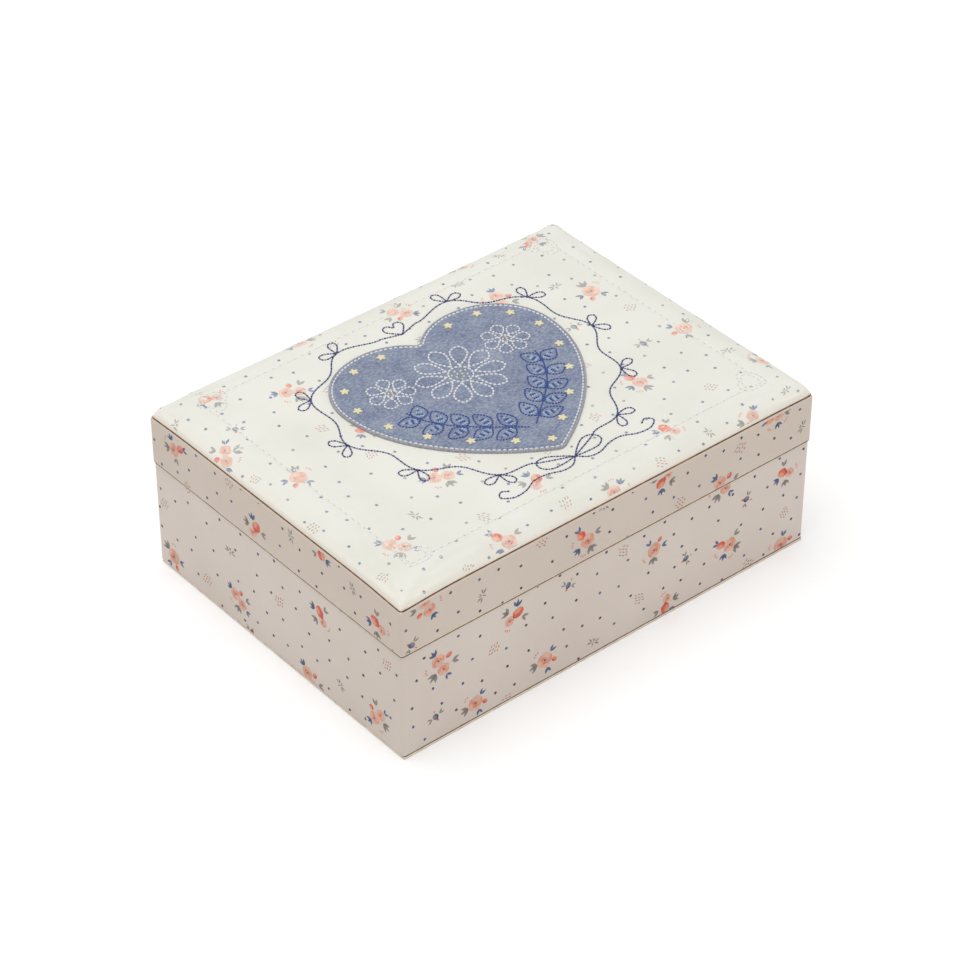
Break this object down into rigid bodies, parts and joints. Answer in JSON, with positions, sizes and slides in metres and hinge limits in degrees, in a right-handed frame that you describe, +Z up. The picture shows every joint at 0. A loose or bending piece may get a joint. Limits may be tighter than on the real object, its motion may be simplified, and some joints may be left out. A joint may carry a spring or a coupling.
{
  "type": "wind up music box",
  "caption": "Covered keepsake box with a hinged padded lid, heart patch, mirror, divided tray and a wind-up pinned-cylinder movement with a key at the back.",
  "frame": {"origin": "middle of the box's underside, in the plane it stands on", "axes": "+X along the long front from its left end to its right, +Y from the front to the hinged back, +Z up"},
  "size_m": [0.2, 0.1651, 0.0773],
  "materials": {
    "printed_cover": "satin",
    "edge_paper": "matte",
    "suede_lining": "matte",
    "padded_cloth": "matte",
    "denim_felt": "matte",
    "clear_pane": "gloss",
    "mirror_glass": "polished",
    "brass": "polished",
    "steel": "satin",
    "cast_zinc": "matte"
  },
  "bodies": {
    "base": {"bottom_sheet": "edge_paper", "base_walls": "printed_cover", "base_floor": "printed_cover", "neck_lining": "suede_lining", "floor_lining": "suede_lining", "divider_back": "suede_lining", "divider_cross": "suede_lining", "divider_centre": "suede_lining", "movement_wall_left": "suede_lining", "movement_wall_right": "suede_lining", "movement_cover": "suede_lining", "movement_window": "clear_pane", "ring_roll_1": "suede_lining", "ring_roll_2": "suede_lining", "ring_roll_3": "suede_lining", "ring_roll_4": "suede_lining", "bedplate": "cast_zinc", "spring_housing": "steel", "mainspring": "steel", "key_escutcheon": "brass", "cylinder_bearing": "steel", "comb": "steel", "comb_screw_1": "steel", "comb_screw_2": "steel", "governor_frame": "steel", "stop_spring": "steel", "movement_screw_left": "steel", "movement_screw_right": "steel", "hinge_left_base_leaf": "brass", "hinge_left_pin": "brass", "hinge_left_base_screw_1": "brass", "hinge_left_base_screw_2": "brass", "hinge_right_base_leaf": "brass", "hinge_right_pin": "brass", "hinge_right_base_screw_1": "brass", "hinge_right_base_screw_2": "brass"},
    "lid": {"lid_shell": "printed_cover", "lid_pad": "padded_cloth", "heart_patch": "denim_felt", "lid_lining": "suede_lining", "mirror": "mirror_glass", "mirror_frame": "suede_lining", "lid_striker": "suede_lining", "hinge_left_lid_leaf": "brass", "hinge_left_lid_screw_1": "brass", "hinge_left_lid_screw_2": "brass", "hinge_right_lid_leaf": "brass", "hinge_right_lid_screw_1": "brass", "hinge_right_lid_screw_2": "brass"},
    "cylinder": {"music_cylinder": "brass", "cylinder_arbor": "steel", "cylinder_wheel": "brass"},
    "drive": {"drive_wheel": "brass", "clutch_spring": "steel"},
    "key": {"winding_key": "brass", "winding_arbor": "steel"},
    "governor": {"governor_wheel": "brass"},
    "fly": {"fly": "brass"},
    "plunger": {"stop_plunger": "steel"}
  },
  "joints": [
    {"name": "lid_hinge", "type": "hinge", "parent": "base", "child": "lid", "pos_m": [0, 0.0772, 0.04865], "axis": [-1, 0, 0], "range_deg": [0, 100]},
    {"name": "cylinder_turn", "type": "hinge", "parent": "base", "child": "cylinder", "pos_m": [0.0084, 0.05545, 0.0302], "axis": [1, 0, 0], "continuous": true},
    {"name": "drive_wheel_turn", "type": "hinge", "parent": "base", "child": "drive", "pos_m": [-0.0136, 0.059, 0.0302], "axis": [0, -1, 0], "continuous": true},
    {"name": "key_wind", "type": "hinge", "parent": "drive", "child": "key", "pos_m": [-0.0136, 0.084, 0.0302], "axis": [0, -1, 0], "range_deg": [0, 1260]},
    {"name": "governor_turn", "type": "hinge", "parent": "base", "child": "governor", "pos_m": [0.0216, 0.06089, 0.02476], "axis": [1, 0, 0], "continuous": true},
    {"name": "fly_turn", "type": "hinge", "parent": "base", "child": "fly", "pos_m": [0.0216, 0.05619, 0.0193], "axis": [0, 0, 1], "continuous": true},
    {"name": "stop_plunger_rise", "type": "slide", "parent": "base", "child": "plunger", "axis": [0, 0, 1], "range_m": [0, 0.003], "deforming": ["stop_spring"]}
  ],
  "couplings": [
    {"joint": "drive_wheel_turn", "follows": "cylinder_turn", "ratio": 0.33333},
    {"joint": "governor_turn", "follows": "cylinder_turn", "ratio": -4.5},
    {"joint": "fly_turn", "follows": "cylinder_turn", "ratio": -72},
    {"joint": "stop_plunger_rise", "follows": "lid_hinge", "m_per_rad": 0.001718}
  ]
}
